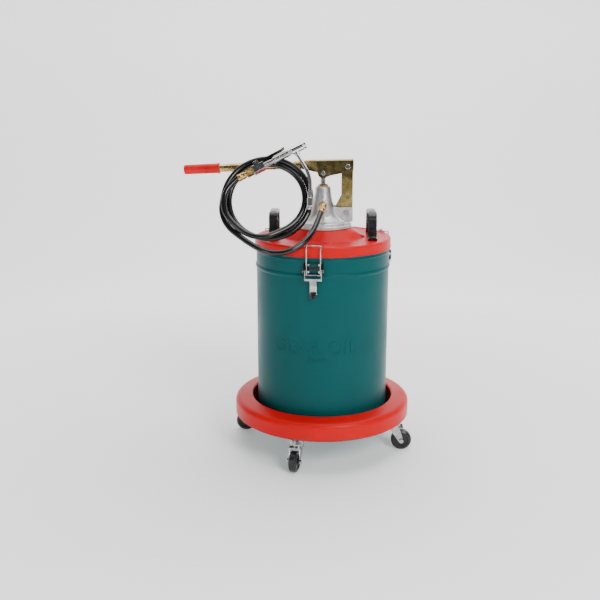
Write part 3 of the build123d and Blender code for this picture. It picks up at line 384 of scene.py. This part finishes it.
HOSE_EXIT = Vector((-0.005356, -0.078758, 0.601817))
LEAD_POINTS = [               # from the elbow to the start of the coil
    HOSE_EXIT, (-0.016651, -0.118313, 0.576125), (-0.0299, -0.1518, 0.5568),
    (-0.0550, -0.1726, 0.5369), (-0.0894, -0.1817, 0.5244), (-0.1259, -0.1791, 0.5253),
    (-0.1582, -0.1633, 0.5379), (-0.1902, -0.1418, 0.5548), (-0.2209, -0.1201, 0.5745),
    (-0.2363, -0.1027, 0.6040),
]
TAIL_PLACES = [               # across, up and out from the coil's centre, to the gun
    (0.0012, -0.0945, 0.0118), (-0.0273, -0.0960, 0.0140), (-0.0596, -0.0829, 0.0172),
    (-0.0909, -0.0500, 0.0188), (-0.1009, -0.0250, 0.0190), (-0.1005, 0.0019, 0.0188),
    (-0.0897, 0.0264, 0.0185), (-0.0700, 0.0446, 0.0185),
]


def open_spline(name, points):
    """Smooth NURBS curve with the route's points as its control points."""
    curve = bpy.data.curves.new(name, "CURVE")
    curve.dimensions = "3D"
    curve.resolution_u = 10
    spline = curve.splines.new("NURBS")
    spline.points.add(len(points) - 1)
    for target, point in zip(spline.points, points):
        target.co = (*point, 1)
    spline.order_u = 3
    spline.use_endpoint_u = True
    return curve


def make_hose():
    route = [Vector(point) for point in LEAD_POINTS]
    steps = round(COIL_TURNS * POINTS_PER_TURN)
    route += [coil_point(COIL_TURNS * step / steps) for step in range(steps + 1)]
    route += [in_plane(*place) for place in TAIL_PLACES]
    curve = open_spline("hose", route)
    curve.bevel_depth = HOSE_R
    curve.bevel_resolution = 8
    curve.use_fill_caps = True
    hose = add_piece("hose", curve, "hose_rubber", STAND)
    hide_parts("hose_lead", "hose_coil", "hose_tail")


make_hose()


# ---------------------------------------------------------------- drum and latch details
DRUM_R = 0.163
LATCH_AZIMUTHS = (-7, 113, -127)


def raised_text(name, text, height, centre, z, spacing):
    """Letters pressed out of the drum's front, bent to its curve."""
    font = bpy.data.curves.new(name, "FONT")
    font.body = text
    font.size = height / 0.7
    font.space_character = spacing
    font.align_x = "CENTER"
    font.align_y = "CENTER"
    font.extrude = 0.0006
    font.bevel_depth = 0.0004
    font.bevel_resolution = 2
    flat = bpy.data.objects.new(name, font)
    bpy.context.scene.collection.objects.link(flat)
    graph = bpy.context.evaluated_depsgraph_get()
    mesh = bpy.data.meshes.new_from_object(flat.evaluated_get(graph))
    bpy.data.objects.remove(flat)
    for vertex in mesh.vertices:
        across, up, out = vertex.co
        angle = (centre + across) / DRUM_R
        radius = DRUM_R + out
        vertex.co = (radius * math.sin(angle), -radius * math.cos(angle), z + up)
    add_piece(name, mesh, "painted_teal", STAND, 40)


def weld_seam():
    """Bead of the drum's upright weld, at the back."""
    bottom, height, steps = 0.106, 0.352, 120
    curve = bpy.data.curves.new("drum_seam", "CURVE")
    curve.dimensions = "3D"
    curve.bevel_depth = 0.0017
    curve.bevel_resolution = 3
    curve.use_fill_caps = True
    spline = curve.splines.new("POLY")
    spline.points.add(steps)
    for step, point in enumerate(spline.points):
        z = bottom + height * step / steps
        point.co = (0.0003 * math.sin(step * 1.3), DRUM_R + 0.0002, z, 1)
        point.radius = 1 + 0.14 * math.sin(step * 2.1)
    add_piece("drum_seam", curve, "painted_teal", STAND)


def latch_tip_painted_dark(number, azimuth):
    """Black shell over the curled end of a latch lever's tail, lofted through rounded rings; its
    black is painted dark reflection of the curled metal tip.
    """
    # radius from the drum's axis, height, half width and half thickness of each ring
    stations = [(0.17175, 0.4325, 0.0071, 0.0016), (0.1718, 0.4290, 0.0071, 0.0018),
                (0.1742, 0.4232, 0.0058, 0.0018), (0.1764, 0.4176, 0.0047, 0.0016),
                (0.1769, 0.4162, 0.0036, 0.0009)]
    sides = 20
    circle = [(math.cos(t), math.sin(t)) for t in (2 * math.pi * k / sides for k in range(sides))]
    rounded = [(math.copysign(abs(c) ** 0.45, c), math.copysign(abs(d) ** 0.45, d))
               for c, d in circle]
    mesh = bmesh.new()
    rings = [[mesh.verts.new((half_w * c, -radius - half_t * d, z)) for c, d in rounded]
             for radius, z, half_w, half_t in stations]
    for lower, upper in zip(rings, rings[1:]):
        for k in range(sides):
            mesh.faces.new((lower[k], lower[k - 1], upper[k - 1], upper[k]))
    mesh.faces.new(rings[0])
    mesh.faces.new(rings[-1][::-1])
    bmesh.ops.recalc_face_normals(mesh, faces=mesh.faces)
    mesh.transform(Matrix.Rotation(azimuth, 4, "Z"))
    data = bpy.data.meshes.new(f"latch_tip_painted_dark_{number}")
    mesh.to_mesh(data)
    mesh.free()
    # the black plastic colour here is painted dark reflection of the curled metal tip
    add_piece(f"latch_tip_painted_dark_{number}", data, "black_plastic", f"latch_{number}", 40)


raised_text("drum_letters", "GEAR OIL", 0.032, -0.018, 0.292, 1.08)
raised_text("drum_small_letters", "PUMP", 0.009, -0.013, 0.264, 1.6)
weld_seam()
# dark shells on the latch levers' curled ends: painted dark reflection
for index, azimuth in enumerate(LATCH_AZIMUTHS):
    latch_tip_painted_dark(index + 1, math.radians(azimuth))


# ---------------------------------------------------------------- stage
GLOW = (0.25, 0.9)            # emission beside the pump and far from it
GLOW_REACH = (0.25, 1.6)      # metres from the origin where the glow starts and stops rising
WALL_START, WALL_CURVE, WALL_TOP = 1.6, 1.2, 5.0
HALF_WIDTH = 5
FRONT_EDGE = -4.0


def make_stage():
    """Pale floor that curves up into a lit back wall."""
    profile = [(FRONT_EDGE, 0.0), (WALL_START, 0.0)]
    profile += [(WALL_START + WALL_CURVE * math.sin(t), WALL_CURVE - WALL_CURVE * math.cos(t))
                for t in (math.pi / 2 * k / 12 for k in range(1, 13))]
    profile.append((WALL_START + WALL_CURVE, WALL_TOP))
    points = [(x, y, z) for y, z in profile for x in (-HALF_WIDTH, HALF_WIDTH)]
    faces = [(2 * k, 2 * k + 1, 2 * k + 3, 2 * k + 2) for k in range(len(profile) - 1)]
    mesh = bpy.data.meshes.new("stage")
    mesh.from_pydata(points, [], faces)
    mesh.shade_smooth()
    stage = bpy.data.objects.new("stage", mesh)
    bpy.context.scene.collection.objects.link(stage)
    paper = Paint("studio_paper", (0.95, 0.95, 0.95), 0.8, specular_ior_level=0.1,
                  emission_color=(1, 1, 1, 1))
    paper.vary_colour((0.94, 0.94, 0.94), (0.96, 0.96, 0.96), 3)
    length = paper.tree.nodes.new("ShaderNodeVectorMath")
    length.operation = "LENGTH"
    paper.link(paper.place, length.inputs[0])
    glow = paper.spread(length.outputs["Value"], *GLOW_REACH, *GLOW)
    paper.link(glow, paper.shader.inputs["Emission Strength"])
    mesh.materials.append(paper.material)


make_stage()
